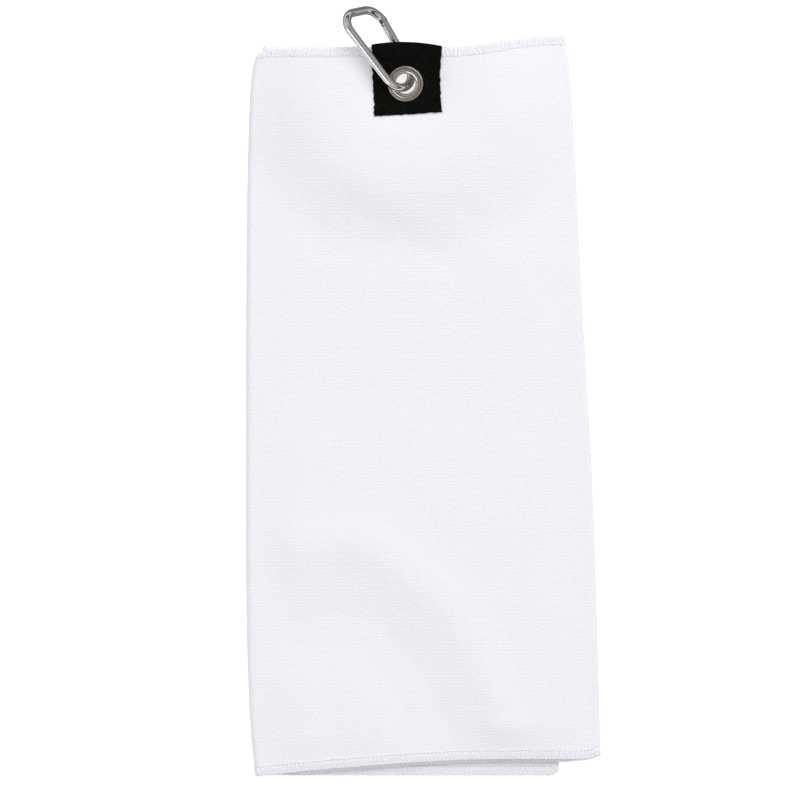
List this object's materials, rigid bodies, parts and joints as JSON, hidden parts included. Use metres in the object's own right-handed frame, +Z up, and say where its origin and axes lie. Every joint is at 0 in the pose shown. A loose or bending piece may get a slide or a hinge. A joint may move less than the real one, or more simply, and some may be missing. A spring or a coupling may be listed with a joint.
{
  "type": "golf towel",
  "caption": "Microfibre golf towel folded in three lengthwise, with a black fabric patch and metal grommet at its top edge and an offset-D spring-gate carabiner.",
  "frame": {"origin": "bottom centre of the object's box, on the surface that the towel lies on", "axes": "+Z up out of the towel's front face, +Y along the towel towards the grommet, +X to the right seen from the front"},
  "size_m": [0.1992, 0.432, 0.0259],
  "materials": {
    "towelling": "ribbed microfibre terry",
    "overlock_thread": "polyester overlock thread",
    "patch_fabric": "dense felted fabric",
    "grommet_metal": "polished nickel plate",
    "carabiner_metal": "polished",
    "rivet_steel": "smooth"
  },
  "bodies": {
    "towel": {"towel_cloth": "towelling", "top_overlock_seam": "overlock_thread", "bottom_overlock_seam": "overlock_thread", "inner_flap_overlock_seam": "overlock_thread", "outer_flap_overlock_seam": "overlock_thread", "grommet_patch": "patch_fabric", "grommet_eyelet": "grommet_metal", "grommet_washer": "grommet_metal"},
    "carabiner": {"carabiner_body": "carabiner_metal", "gate_hinge_rivet": "rivet_steel"},
    "gate": {"carabiner_gate": "carabiner_metal", "gate_latch_rivet": "rivet_steel", "gate_spring": "rivet_steel"},
    "plunger": {"gate_plunger": "rivet_steel"}
  },
  "joints": [
    {"name": "carabiner_swing", "type": "hinge", "parent": "towel", "child": "carabiner", "pos_m": [-0.00995, 0.1724, 0.0101], "axis": [0, 0, 1], "range_deg": [-62, 20]},
    {"name": "gate_hinge", "type": "hinge", "parent": "carabiner", "child": "gate", "pos_m": [-0.00918, 0.18461, 0.00227], "axis": [0.6467, 0.3693, 0.6673], "range_deg": [0, 18], "stiffness_Nm_per_rad": 0.03, "springref_deg": -22.92},
    {"name": "plunger_slide", "type": "slide", "parent": "gate", "child": "plunger", "axis": [-0.4944, 0.8692, -0.0018], "range_m": [0, 0.0009]}
  ],
  "couplings": [
    {"joint": "plunger_slide", "follows": "gate_hinge", "m_per_rad": 0.0026}
  ]
}
